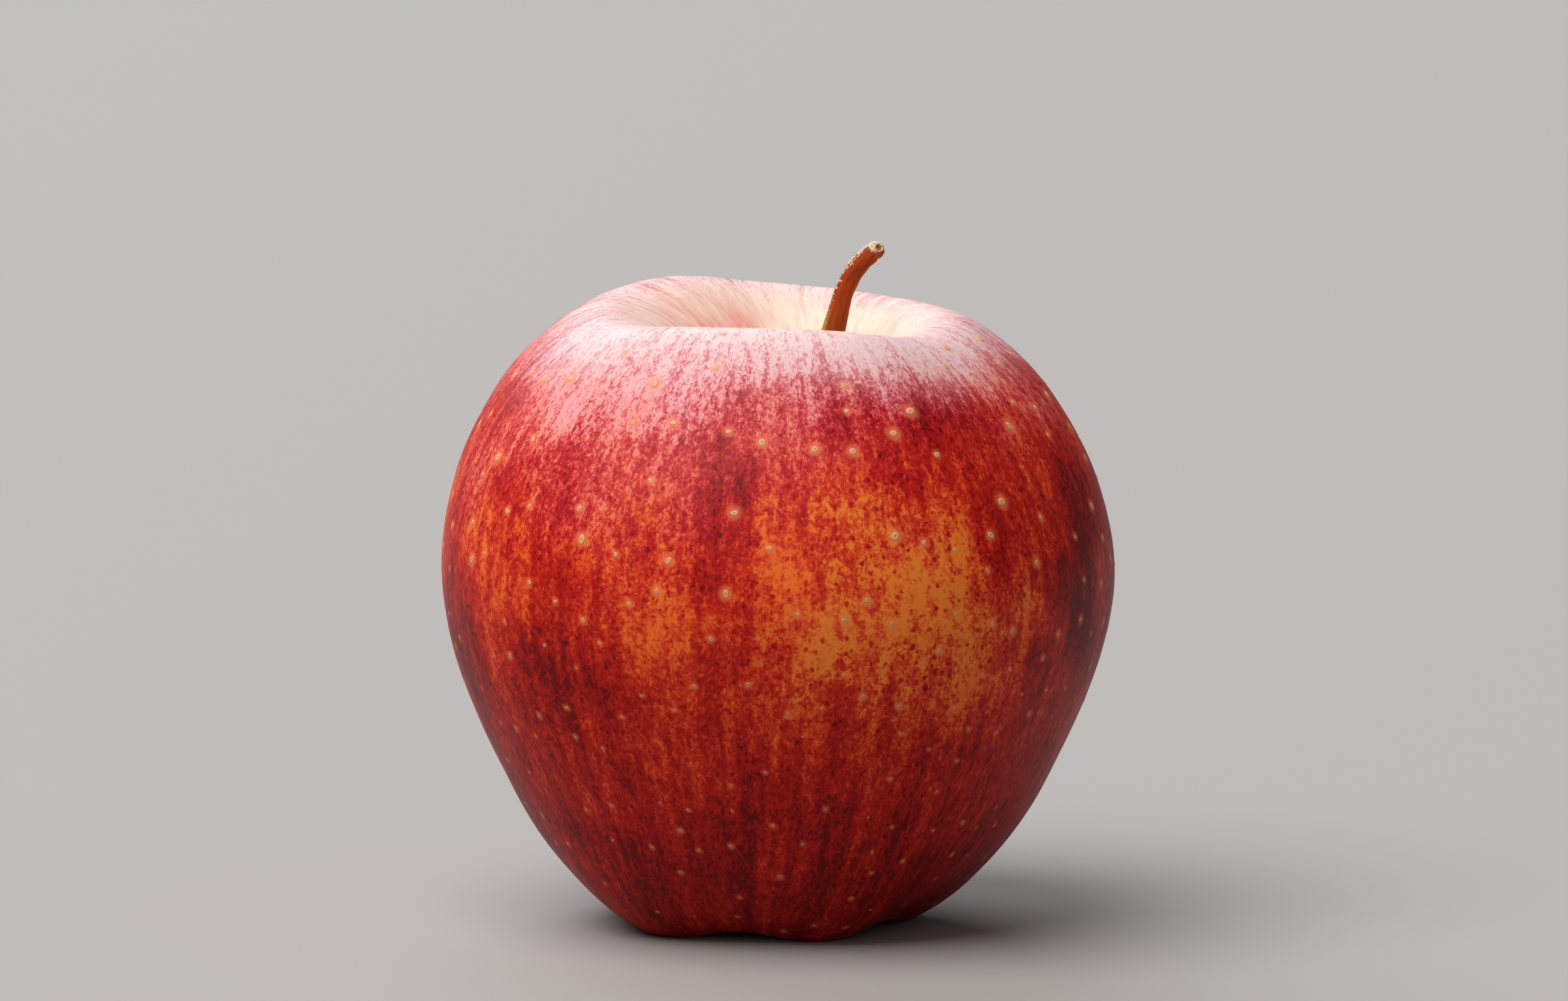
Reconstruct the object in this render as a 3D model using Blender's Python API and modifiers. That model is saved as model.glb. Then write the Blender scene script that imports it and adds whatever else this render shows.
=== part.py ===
"""A ripe dessert apple standing on the lobes of its calyx end, with its stem, sepals and dried stamens.

The fruit is turned from a half outline and then grown out of round, as a real one is: the cavity
sits off centre, the crown is tilted and swollen on two sides, and five shallow ribs run down the
flank to the five lobes that it stands on.

Frame: +Z up, the origin on the surface that the apple stands on, under the middle of the fruit's
box. The front, where the crown's broad swelling is, faces -Y. Lengths are in metres.
"""

import math

import bmesh
import bpy
from mathutils import Matrix, Vector

MM = 0.001

# The fruit. Its outline is in shares of these two sizes.
FRUIT_RADIUS = 36.0 * MM
CROWN_HEIGHT = 66.0 * MM

# The stem's socket, which has square corners: (radius, height) shares from its floor to its mouth.
SOCKET = [(0.0, 0.776), (0.056, 0.776), (0.056, 0.818)]
# The half outline from the socket's mouth over the crown and down the flank into the basin.
OUTLINE = [
    (0.093, 0.832), (0.153, 0.854), (0.228, 0.900), (0.316, 0.956), (0.415, 0.995), (0.530, 1.005),
    (0.660, 0.968), (0.796, 0.896), (0.915, 0.789), (0.984, 0.675), (1.000, 0.570), (0.967, 0.459),
    (0.900, 0.356), (0.812, 0.254), (0.704, 0.148), (0.588, 0.069), (0.480, 0.020), (0.394, 0.001),
    (0.306, 0.017), (0.220, 0.064), (0.152, 0.104), (0.098, 0.125),
]
# The pit where the dried flower is left, from its mouth to its roof.
CALYX_PIT = [(0.062, 0.140), (0.046, 0.172), (0.0, 0.180)]
OUTLINE_CUTS = 2
TURN_STEPS = 50

# How the turned fruit is grown out of round.
CAVITY_SHIFT = 3.2 * MM
CAVITY_RADII = (4.0 * MM, 18.0 * MM)
CROWN_HEIGHTS = (22.0 * MM, 60.0 * MM)
CROWN_RADII = (4.0 * MM, 14.0 * MM)
TILT_TO_LEFT = 0.029
TILT_TO_BACK = 0.075
# Swellings and dips of the crown: (angle, rise, sharpness)
CROWN_SWELLINGS = [
    (math.radians(-85), 1.2 * MM, 2.0),
    (math.radians(127), 1.3 * MM, 8.0),
    (math.radians(-35), -1.0 * MM, 12.0),
    (math.radians(207), -0.6 * MM, 12.0),
]
LOBES = 5
LOBE_ANGLE = math.radians(7)
RIB_RISE = 0.35 * MM
RIB_RADII = (8.0 * MM, 22.0 * MM)
OVAL_RISE = 0.3 * MM
FOOT_HEIGHT = 16.0 * MM
FOOT_RADII = (5.0 * MM, 12.0 * MM)
FOOT_SHIFT = -1.1 * MM
FOOT_PINCH = 0.9 * MM
NOTCH_HEIGHT = 1.5 * MM
PRESSED_FLAT = 0.45 * MM

# The stem: its middle line from the root in the socket up to the cut top, as (x, y, height, radius).
STEM_LINE = [
    (3.2, 0.0, 51.6, 1.45), (3.4, 0.0, 54.2, 1.5), (4.2, -0.1, 58.0, 1.45), (5.2, -0.2, 61.6, 1.4),
    (6.1, -0.2, 64.9, 1.35), (6.7, -0.1, 67.3, 1.15), (7.4, 0.0, 69.3, 1.1), (8.3, 0.1, 70.9, 1.15),
    (9.3, 0.1, 72.1, 1.25), (10.2, 0.1, 72.9, 1.4),
]
STEM_SIDES = 12

# The dried flower in the basin.
SEPAL_LENGTH = 5.2 * MM
SEPAL_WIDTH = 2.9 * MM
SEPAL_THICKNESS = 0.35 * MM
SEPAL_ROOT = (3.5 * MM, 7.2 * MM)
SEPAL_STEPS = 6
TUFT_OUTLINE = [(0.0, 5.4), (0.55, 5.8), (0.8, 7.0), (0.6, 8.8), (0.85, 10.2), (0.6, 10.9), (0.0, 11.0)]
TUFT_STEPS = 12

# Colour (linear RGB) and roughness of each piece.
SKIN = ((0.50, 0.045, 0.025), 0.32)
BARK = ((0.16, 0.055, 0.022), 0.75)
DRIED_LEAF = ((0.13, 0.075, 0.035), 0.85)
DRIED_STAMEN = ((0.055, 0.032, 0.018), 0.9)


def clear_scene():
    for leftover in list(bpy.data.objects):
        bpy.data.objects.remove(leftover, do_unlink=True)


def part_collection(name):
    collection = bpy.data.collections.new(name)
    bpy.context.scene.collection.children.link(collection)
    return collection


def finish_material(name, look):
    colour, roughness = look
    material = bpy.data.materials.new(name)
    material.use_nodes = True
    shader = material.node_tree.nodes["Principled BSDF"]
    shader.inputs["Base Color"].default_value = (*colour, 1.0)
    shader.inputs["Roughness"].default_value = roughness
    shader.inputs["Metallic"].default_value = 0.0
    material.diffuse_color = (*colour, 1.0)
    return material


def smooth_step(start, end, value):
    share = min(max((value - start) / (end - start), 0.0), 1.0)
    return share * share * (3.0 - 2.0 * share)


def curve_through(points, cuts):
    """The points of a smooth line (Catmull-Rom) through the given ones, in this many cuts each."""
    line = [Vector(p) for p in points]
    line = [2 * line[0] - line[1], *line, 2 * line[-1] - line[-2]]
    found = []
    for before, start, end, after in zip(line, line[1:], line[2:], line[3:]):
        for cut in range(cuts):
            t = cut / cuts
            found.append(
                start
                + 0.5 * t * (end - before)
                + t * t * (before - 2.5 * start + 2 * end - 0.5 * after)
                + t ** 3 * (1.5 * (start - end) + 0.5 * (after - before))
            )
    return [*found, line[-2]]


def turned(name, profile, steps, collection):
    """An object whose (radius, height) profile is turned about Z by a Screw modifier."""
    mesh = bpy.data.meshes.new(name)
    edges = [(i, i + 1) for i in range(len(profile) - 1)]
    mesh.from_pydata([(radius, 0.0, height) for radius, height in profile], edges, [])
    obj = bpy.data.objects.new(name, mesh)
    collection.objects.link(obj)
    screw = obj.modifiers.new("turn", "SCREW")
    screw.steps = screw.render_steps = steps
    screw.use_merge_vertices = True
    screw.merge_threshold = 0.01 * MM
    screw.use_smooth_shade = True
    return obj


def apply_modifiers(obj):
    graph = bpy.context.evaluated_depsgraph_get()
    mesh = bpy.data.meshes.new_from_object(obj.evaluated_get(graph))
    obj.modifiers.clear()
    obj.data = mesh


def fruit_profile():
    shares = SOCKET + [tuple(p) for p in curve_through(OUTLINE, OUTLINE_CUTS)] + CALYX_PIT
    return [(radius * FRUIT_RADIUS, height * CROWN_HEIGHT) for radius, height in shares]


def grown(point):
    """Where a point of the turned fruit ends up once the fruit is out of round."""
    radius = math.hypot(point.x, point.y)
    angle = math.atan2(point.y, point.x)
    lobe = math.cos(LOBES * (angle - LOBE_ANGLE))
    ribbed = smooth_step(*RIB_RADII, radius)
    foot = smooth_step(FOOT_HEIGHT, 0.0, point.z) * smooth_step(*FOOT_RADII, radius)
    crown = smooth_step(*CROWN_HEIGHTS, point.z) * smooth_step(*CROWN_RADII, radius)
    cavity = (1.0 - smooth_step(*CAVITY_RADII, radius)) * (point.z > CROWN_HEIGHT / 2)

    radius += ribbed * (RIB_RISE * lobe + OVAL_RISE * math.cos(2 * angle))
    radius -= foot * FOOT_PINCH * (1.0 - lobe) / 2
    x = radius * math.cos(angle) + cavity * CAVITY_SHIFT + foot * FOOT_SHIFT
    y = radius * math.sin(angle)
    z = point.z + foot * NOTCH_HEIGHT * (1.0 - lobe) / 2
    z += crown * (TILT_TO_BACK * y - TILT_TO_LEFT * x)
    for swelling, rise, sharpness in CROWN_SWELLINGS:
        z += crown * rise * math.exp(sharpness * (math.cos(angle - swelling) - 1.0))
    return Vector((x, y, z))


def stand_on_lobes(mesh):
    """Centres the fruit on its box and presses the lowest skin of each lobe flat at z = 0."""
    for axis in (0, 1):
        places = [vertex.co[axis] for vertex in mesh.vertices]
        middle = (min(places) + max(places)) / 2
        for vertex in mesh.vertices:
            vertex.co[axis] -= middle
    floor = min(vertex.co.z for vertex in mesh.vertices) + PRESSED_FLAT
    for vertex in mesh.vertices:
        vertex.co.z = max(vertex.co.z - floor, 0.0)


def make_fruit(collection):
    fruit = turned("fruit", fruit_profile(), TURN_STEPS, collection)
    apply_modifiers(fruit)
    for vertex in fruit.data.vertices:
        vertex.co = grown(vertex.co)
    stand_on_lobes(fruit.data)
    fruit.data.set_sharp_from_angle(angle=math.radians(50))
    fruit.data.materials.append(finish_material("apple_skin", SKIN))
    return fruit


def make_stem(collection):
    """A bevelled curve that swells towards the scar at its top and widens into its root."""
    curve = bpy.data.curves.new("stem", "CURVE")
    curve.dimensions = "3D"
    curve.bevel_depth = MM
    curve.bevel_resolution = STEM_SIDES // 4 - 1
    curve.use_fill_caps = True
    line = curve_through(STEM_LINE, 2)
    spline = curve.splines.new("POLY")
    spline.points.add(len(line) - 1)
    for point, (x, y, z, radius) in zip(spline.points, line):
        point.co = (x * MM, y * MM, z * MM, 1.0)
        point.radius = radius
    stem = bpy.data.objects.new("stem", curve)
    collection.objects.link(stem)
    curve.materials.append(finish_material("stem_bark", BARK))
    return stem


def sepal_point(along, across):
    """A point of the first sepal's middle surface. It leans in, then its tip curls back out."""
    half_width = SEPAL_WIDTH / 2 * (1.0 - along) ** 0.8 + 0.12 * MM
    lean = math.radians(24) * math.cos(math.radians(250) * along)
    radius = SEPAL_ROOT[0] - SEPAL_LENGTH * along * math.sin(lean) - 0.35 * MM * along
    height = SEPAL_ROOT[1] - SEPAL_LENGTH * along * math.cos(lean)
    cupped = 0.25 * MM * across * across * (1.0 - along)
    return Vector((radius - cupped, half_width * across, height))


def make_sepal(number, collection):
    """A dried sepal: a narrow grid bent to its surface, then thickened."""
    form = bmesh.new()
    bmesh.ops.create_grid(form, x_segments=SEPAL_STEPS, y_segments=2, size=1.0)
    for vertex in form.verts:
        vertex.co = sepal_point((vertex.co.x + 1.0) / 2, vertex.co.y)
    turn = LOBE_ANGLE + (number + 0.5) * math.tau / LOBES
    bmesh.ops.rotate(form, verts=form.verts, cent=(0, 0, 0), matrix=Matrix.Rotation(turn, 3, "Z"))
    mesh = bpy.data.meshes.new(f"sepal_{number}")
    form.to_mesh(mesh)
    form.free()
    mesh.shade_smooth()
    sepal = bpy.data.objects.new(f"sepal_{number}", mesh)
    collection.objects.link(sepal)
    thicken = sepal.modifiers.new("thickness", "SOLIDIFY")
    thicken.thickness = SEPAL_THICKNESS
    thicken.offset = 0.0
    mesh.materials.append(finish_material(f"dried_sepal_{number}", DRIED_LEAF))
    return sepal


def make_stamen_tuft(collection):
    """The withered stamens and styles, dried together into one small tuft under the pit's roof."""
    profile = [(radius * MM, height * MM) for radius, height in reversed(TUFT_OUTLINE)]
    tuft = turned("stamen_tuft", profile, TUFT_STEPS, collection)
    tuft.data.materials.append(finish_material("dried_stamens", DRIED_STAMEN))
    return tuft


def main():
    clear_scene()
    apple = part_collection("apple")
    make_fruit(apple)
    make_stem(apple)
    for number in range(1, LOBES + 1):
        make_sepal(number, apple)
    make_stamen_tuft(apple)


main()
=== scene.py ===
# %% [markdown]
# # A ripe apple
# This lesson grows one apple around a finished CAD frame. The frame holds the true sizes: where the
# fruit stands, how high its crown is, and where the stem goes. Each step below replaces one plain CAD
# solid with a fine surface of the same size, and then paints it.
# Everything is in metres, and every piece keeps its place in its own mesh.

# %% Load the frame
import math

import bpy
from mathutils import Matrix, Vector


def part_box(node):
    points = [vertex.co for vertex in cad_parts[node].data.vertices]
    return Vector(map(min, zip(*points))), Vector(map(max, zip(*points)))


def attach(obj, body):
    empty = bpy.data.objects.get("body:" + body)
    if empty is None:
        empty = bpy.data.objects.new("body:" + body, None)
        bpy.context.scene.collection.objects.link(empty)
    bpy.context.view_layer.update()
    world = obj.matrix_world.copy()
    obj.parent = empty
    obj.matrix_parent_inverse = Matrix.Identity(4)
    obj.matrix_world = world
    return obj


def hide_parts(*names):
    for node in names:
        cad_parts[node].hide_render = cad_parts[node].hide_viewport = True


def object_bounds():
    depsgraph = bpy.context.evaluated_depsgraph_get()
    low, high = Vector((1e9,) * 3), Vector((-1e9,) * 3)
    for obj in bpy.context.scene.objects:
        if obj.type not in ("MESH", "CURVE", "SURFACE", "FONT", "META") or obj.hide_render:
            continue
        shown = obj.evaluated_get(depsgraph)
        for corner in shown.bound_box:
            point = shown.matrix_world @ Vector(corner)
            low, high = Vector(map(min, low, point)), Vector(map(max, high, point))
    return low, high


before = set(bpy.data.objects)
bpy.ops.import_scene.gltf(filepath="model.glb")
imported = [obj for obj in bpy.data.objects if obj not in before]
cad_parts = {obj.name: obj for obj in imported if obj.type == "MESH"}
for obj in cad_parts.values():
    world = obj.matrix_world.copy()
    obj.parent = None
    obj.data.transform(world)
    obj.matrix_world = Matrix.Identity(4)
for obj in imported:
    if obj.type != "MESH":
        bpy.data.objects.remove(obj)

MM = 0.001
cad_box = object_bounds()
fruit_low, fruit_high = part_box("fruit")
stem_low, stem_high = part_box("stem")
print("fruit", [round(side / MM, 1) for side in fruit_high - fruit_low], "mm")
print("stem", [round(side / MM, 1) for side in stem_high - stem_low], "mm")

# %% [markdown]
# ## Writing a node tree as a sum
# Geometry trees and material trees are both made of nodes, and a rule such as
# "radius + rib * cos(5 * angle)" would take a dozen lines of node plumbing. `Field` wraps one socket
# and turns Python's arithmetic into Math nodes. The rule then stays readable, and the same words work
# in a geometry tree and in a material.

# %% Helpers for node trees
def add_node(tree, kind, inputs=None, **settings):
    """Adds a node, sets its options, and feeds its inputs from numbers, sockets or Fields."""
    node = tree.nodes.new(kind)
    for name, value in settings.items():
        setattr(node, name, value)
    for key, value in (inputs or {}).items():
        if isinstance(value, Field):
            value = value.socket
        if isinstance(value, bpy.types.NodeSocket):
            tree.links.new(value, node.inputs[key])
        else:
            node.inputs[key].default_value = value
    return node


class Field:
    """A value that flows through a node tree. Arithmetic on it adds Math nodes."""

    def __init__(self, tree, socket):
        self.tree = tree
        self.socket = socket

    def math(self, operation, *others):
        inputs = dict(enumerate((self, *others)))
        node = add_node(self.tree, "ShaderNodeMath", inputs, operation=operation)
        return Field(self.tree, node.outputs[0])

    def __add__(self, other):
        return self.math("ADD", other)

    def __sub__(self, other):
        return self.math("SUBTRACT", other)

    def __rsub__(self, other):
        return (self * -1.0).math("ADD", other)

    def __mul__(self, other):
        return self.math("MULTIPLY", other)

    def __truediv__(self, other):
        return self.math("DIVIDE", other)

    __radd__ = __add__
    __rmul__ = __mul__

    def cos(self):
        return self.math("COSINE")

    def sin(self):
        return self.math("SINE")

    def exp(self):
        return self.math("EXPONENT")

    def power(self, exponent):
        return self.math("POWER", exponent)

    def above(self, limit):
        return self.math("GREATER_THAN", limit)

    def at_least(self, other):
        return self.math("MAXIMUM", other)

    def at_most(self, other):
        return self.math("MINIMUM", other)

    def step(self, start, end):
        """0 before start and 1 after end, with a smooth rise between; start may be the larger."""
        settings = {"Value": self, "From Min": start, "From Max": end, "To Min": 0.0, "To Max": 1.0}
        node = add_node(self.tree, "ShaderNodeMapRange", settings, interpolation_type="SMOOTHSTEP")
        return Field(self.tree, node.outputs["Result"])

    def near(self, middle, width):
        """A soft bump, 1 at the middle and gone about two widths away."""
        away = (self - middle) / width
        return (away * away * -1.0).exp()

    def split(self):
        node = add_node(self.tree, "ShaderNodeSeparateXYZ", {0: self})
        return [Field(self.tree, output) for output in node.outputs]

    def vector(self, operation, *others, output=0):
        inputs = dict(enumerate((self, *others)))
        node = add_node(self.tree, "ShaderNodeVectorMath", inputs, operation=operation)
        return Field(self.tree, node.outputs[output])

    def scaled(self, factor):
        node = add_node(self.tree, "ShaderNodeVectorMath", {0: self, "Scale": factor}, operation="SCALE")
        return Field(self.tree, node.outputs[0])


def join(x, y, z):
    parts = [part for part in (x, y, z) if isinstance(part, Field)]
    node = add_node(parts[0].tree, "ShaderNodeCombineXYZ", {0: x, 1: y, 2: z})
    return Field(parts[0].tree, node.outputs[0])


def noise(place, detail=2.0, roughness=0.5, output="Fac"):
    inputs = {"Vector": place, "Scale": 1.0, "Detail": detail, "Roughness": roughness}
    node = add_node(place.tree, "ShaderNodeTexNoise", inputs)
    return Field(place.tree, node.outputs[output])


def swing(place, detail=2.0, roughness=0.5):
    """Noise that swings both ways, from about -1 to 1."""
    return (noise(place, detail, roughness) - 0.5) * 2.0


def drift(place, detail):
    """Noise as an arrow that may point any way, each of its three parts from about -0.5 to 0.5."""
    return noise(place, detail, output="Color").vector("SUBTRACT", (0.5, 0.5, 0.5))


def mix_colours(share, first, second):
    """The second colour painted over the first by this share."""
    tree = share.tree
    node = add_node(tree, "ShaderNodeMix", {0: share}, data_type="RGBA", clamp_factor=True)
    for index, colour in ((6, first), (7, second)):
        if isinstance(colour, Field):
            tree.links.new(colour.socket, node.inputs[index])
        else:
            node.inputs[index].default_value = (*colour, 1.0)
    return Field(tree, node.outputs[2])


def new_tree(name, kind, inputs, outputs):
    """A node group with named inputs, given as name: default, and outputs, given as name: type."""
    tree = bpy.data.node_groups.new(name, kind)
    for label, value in inputs.items():
        shape = {float: "Float", int: "Int", tuple: "Color"}.get(type(value), value)
        socket = tree.interface.new_socket(label, in_out="INPUT", socket_type=f"NodeSocket{shape}")
        if type(value) in (float, int):
            socket.default_value = value
        elif type(value) is tuple:
            socket.default_value = (*value, 1.0)
    for label, shape in outputs.items():
        tree.interface.new_socket(label, in_out="OUTPUT", socket_type=f"NodeSocket{shape}")
    start = tree.nodes.new("NodeGroupInput")
    given = {label: Field(tree, start.outputs[label]) for label in inputs}
    return tree, given, tree.nodes.new("NodeGroupOutput")


def send(end, label, value):
    end.id_data.links.new(value.socket if isinstance(value, Field) else value, end.inputs[label])


def geometry_tree(name, sizes):
    """A tree that takes and gives geometry, with a named input for each size."""
    shape = {"Geometry": "Geometry"}
    return new_tree(name, "GeometryNodeTree", {**shape, **sizes}, shape)


def run_tree(obj, tree, values=None):
    """Runs a geometry tree on the object and keeps its result as a plain mesh."""
    modifier = obj.modifiers.new("grow", "NODES")
    modifier.node_group = tree
    for item in tree.interface.items_tree:
        if item.name in (values or {}):
            modifier[item.identifier] = values[item.name]
    graph = bpy.context.evaluated_depsgraph_get()
    mesh = bpy.data.meshes.new_from_object(obj.evaluated_get(graph))
    obj.modifiers.clear()
    obj.data = mesh
    mesh.name = obj.name
    # A shape that a node makes from nothing brings an empty first material slot.
    while len(mesh.materials) > 1 and mesh.materials[0] is None:
        mesh.materials.pop(index=0)
    triangles = sum(len(face.vertices) - 2 for face in mesh.polygons)
    print(obj.name, len(mesh.vertices), "points", triangles, "triangles")
    return obj


def new_piece(name, mesh):
    obj = bpy.data.objects.new(name, mesh)
    bpy.context.scene.collection.objects.link(obj)
    return obj


def chain_piece(name, points, sizes=None):
    """A piece that is only a chain of points, for a geometry tree to start from."""
    mesh = bpy.data.meshes.new(name)
    mesh.from_pydata(points, [(i, i + 1) for i in range(len(points) - 1)], [])
    if sizes is not None:
        mesh.attributes.new("size", "FLOAT", "POINT").data.foreach_set("value", sizes)
    return new_piece(name, mesh)


def named(tree, name, shape="FLOAT"):
    node = add_node(tree, "GeometryNodeInputNamedAttribute", {"Name": name}, data_type=shape)
    return Field(tree, node.outputs["Attribute"])


def store(tree, geometry, name, value, shape="FLOAT"):
    settings = {"Geometry": geometry, "Name": name, "Value": value}
    kind = "GeometryNodeStoreNamedAttribute"
    return add_node(tree, kind, settings, data_type=shape, domain="POINT").outputs["Geometry"]


def place_in(tree):
    return Field(tree, add_node(tree, "GeometryNodeInputPosition").outputs[0])


def outward_in(tree):
    return Field(tree, add_node(tree, "GeometryNodeInputNormal").outputs[0])


def put(tree, mesh, place):
    return add_node(tree, "GeometryNodeSetPosition", {"Geometry": mesh, "Position": place}).outputs[0]


def push(tree, mesh, offset):
    return add_node(tree, "GeometryNodeSetPosition", {"Geometry": mesh, "Offset": offset}).outputs[0]


def random_number(tree, low, high, seed):
    inputs = {2: low, 3: high, "Seed": seed}
    node = add_node(tree, "FunctionNodeRandomValue", inputs, data_type="FLOAT")
    return Field(tree, node.outputs[1])


def random_vector(tree, low, high, seed):
    inputs = {0: low, 1: high, "Seed": seed}
    node = add_node(tree, "FunctionNodeRandomValue", inputs, data_type="FLOAT_VECTOR")
    return Field(tree, node.outputs[0])


def spun(tree, turn, low, high, seed):
    """A turn, with a random turn of its own for each point added to it."""
    inputs = {0: turn, 1: random_vector(tree, low, high, seed)}
    return add_node(tree, "FunctionNodeRotateRotation", inputs, rotation_space="LOCAL").outputs[0]


def copies(tree, points, shape, turn, size=(1.0, 1.0, 1.0)):
    """A copy of the shape on each point, all made one real mesh."""
    settings = {"Points": points, "Instance": shape, "Rotation": turn, "Scale": size}
    laid = add_node(tree, "GeometryNodeInstanceOnPoints", settings).outputs[0]
    return add_node(tree, "GeometryNodeRealizeInstances", {0: laid}).outputs[0]

# %% [markdown]
# ## The stage
# The apple stands on a plain pale floor. The camera is low and far away with a long lens, so the
# apple is seen almost level, with just enough height to look over the front rim into the cavity.
# The light is three lamps, wide and far away, so their shadows are as soft as in daylight: the main
# one high on the left, a faint one low in front, and one behind that lights the crown's far side.

# %% Camera, floor and lights
apple_middle = Vector((0.0, 0.0, (cad_box[0][2] + cad_box[1][2]) / 2))
VIEW_HEIGHT = math.radians(6.3)
VIEW_DISTANCE = 0.9
LENS = 191.5
AIM_FROM_MIDDLE = Vector((0.65 * MM, 0.0, 8.8 * MM))

aim = apple_middle + AIM_FROM_MIDDLE
camera_data = bpy.data.cameras.new("camera")
camera_data.lens = LENS
camera_data.sensor_width = 36.0
camera_data.clip_start = 0.01
camera = bpy.data.objects.new("camera", camera_data)
bpy.context.scene.collection.objects.link(camera)
camera.location = aim + VIEW_DISTANCE * Vector((0.0, -math.cos(VIEW_HEIGHT), math.sin(VIEW_HEIGHT)))
camera.rotation_euler = (aim - camera.location).to_track_quat("-Z", "Y").to_euler()
bpy.context.scene.camera = camera


def soft_lamp(name, side, height, width, strength, colour):
    """A wide, far lamp, placed by its angle from the front, its height and its width, in degrees."""
    data = bpy.data.lights.new(name, "SUN")
    data.angle = math.radians(width)
    data.energy = strength
    data.color = colour
    lamp = bpy.data.objects.new(name, data)
    side = math.radians(side)
    height = math.radians(height)
    level = Vector((math.sin(side), -math.cos(side), 0.0)) * math.cos(height)
    towards = level + Vector((0.0, 0.0, math.sin(height)))
    lamp.rotation_euler = towards.to_track_quat("Z", "Y").to_euler()
    bpy.context.scene.collection.objects.link(lamp)


soft_lamp("key_lamp", -52, 62, 55, 3.7, (1.0, 0.985, 0.97))
soft_lamp("fill_lamp", -5, 25, 60, 0.35, (1.0, 0.96, 0.93))
soft_lamp("back_lamp", -158, 40, 50, 1.5, (0.97, 0.98, 1.0))

# The sky looks as pale as the floor, but lights the apple only faintly.
SKY_SEEN = 0.525
SKY_LIGHT = 0.12
world = bpy.data.worlds.new("studio")
world.use_nodes = True
sky_tree = world.node_tree
sky = sky_tree.nodes["Background"]
sky.inputs["Color"].default_value = (0.99, 0.98, 0.97, 1.0)
seen = Field(sky_tree, add_node(sky_tree, "ShaderNodeLightPath").outputs["Is Camera Ray"])
sky_tree.links.new((seen * (SKY_SEEN - SKY_LIGHT) + SKY_LIGHT).socket, sky.inputs["Strength"])
bpy.context.scene.world = world
bpy.context.scene.view_settings.view_transform = "Standard"


def floor_material():
    material = bpy.data.materials.new("pale_floor")
    material.use_nodes = True
    shader = material.node_tree.nodes["Principled BSDF"]
    shader.inputs["Base Color"].default_value = (0.315, 0.305, 0.295, 1.0)
    shader.inputs["Roughness"].default_value = 0.8
    return material


FLOOR_REACH = 60.0
floor_mesh = bpy.data.meshes.new("floor")
corners = [(-1, -1), (1, -1), (1, 1), (-1, 1)]
floor_points = [(x * FLOOR_REACH, y * FLOOR_REACH, 0.0) for x, y in corners]
floor_mesh.from_pydata(floor_points, [], [(0, 1, 2, 3)])
floor_mesh.materials.append(floor_material())
floor = new_piece("floor", floor_mesh)
print("the camera looks down", round(math.degrees(VIEW_HEIGHT), 1), "degrees from", VIEW_DISTANCE, "m")

# %% [markdown]
# ## The fruit's shape
# An apple grows from a flower, so its shape follows the flower's five-fold plan: a turned outline with
# five faint ribs, which end in the five lobes it stands on. It could be sculpted from a sphere, but a
# rule is easier to check and to change: one half outline, swept around, then pushed out of round.
# The tree below starts from a flat grid whose two directions become the turn around the core and the
# way along the outline. It samples the outline for each point, applies the growth rule, and welds the
# seam and the two poles. Outline and rule are the CAD's, except that here the skin runs on under the
# stem, as real skin does, with no socket, and that the lobes stand out a little less. A tree that makes
# a piece ends by making its geometry real and naming its material, which a later cell paints.

# %% The outline and the growth rule's sizes
FRUIT_RADIUS = 36.0 * MM
CROWN_HEIGHT = 66.0 * MM
OUTLINE = [
    (0.0, 0.806), (0.040, 0.812),
    (0.093, 0.832), (0.153, 0.854), (0.228, 0.900), (0.316, 0.956), (0.415, 0.995), (0.530, 1.005),
    (0.660, 0.968), (0.796, 0.896), (0.915, 0.789), (0.984, 0.675), (1.000, 0.570), (0.967, 0.459),
    (0.900, 0.356), (0.812, 0.254), (0.704, 0.148), (0.588, 0.069), (0.480, 0.020), (0.394, 0.001),
    (0.306, 0.017), (0.220, 0.064), (0.152, 0.104), (0.098, 0.125),
    (0.062, 0.140), (0.050, 0.168), (0.0, 0.180),
]
GROWTH = {
    "Points around": 448,
    "Points down": 222,
    "Cavity shift": 3.2 * MM,
    "Tilt to left": 0.029,
    "Tilt to back": 0.075,
    "Rib rise": 0.35 * MM,
    "Oval rise": 0.3 * MM,
    "Foot shift": -1.1 * MM,
    "Foot pinch": 0.6 * MM,
    "Notch height": 1.1 * MM,
    "Pressed flat": 0.3 * MM,
    "Unevenness": 0.14 * MM,
}
# Swellings and dips of the crown: angle, rise and sharpness.
CROWN_SWELLINGS = [
    (math.radians(-85), 1.2 * MM, 2.0),
    (math.radians(127), 1.3 * MM, 8.0),
    (math.radians(-35), -1.0 * MM, 12.0),
    (math.radians(207), -0.6 * MM, 12.0),
]
LOBES = 5
LOBE_ANGLE = math.radians(7)
# Where each part of the rule sets in and where it is at its full strength.
CAVITY_RADII = (18 * MM, 4 * MM)
CROWN_HEIGHTS = (22 * MM, 60 * MM)
CROWN_RADII = (4 * MM, 14 * MM)
RIB_RADII = (8 * MM, 22 * MM)
FOOT_HEIGHTS = (16 * MM, 0.0)
FOOT_RADII = (5 * MM, 12 * MM)
WELD = 0.002 * MM
# How many dents there are to a metre of skin, and how deep the small ones are beside the slow ones.
SLOW_DENTS = 75.0
SMALL_DENTS = 420.0
SMALL_DENT_SHARE = 0.11

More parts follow.
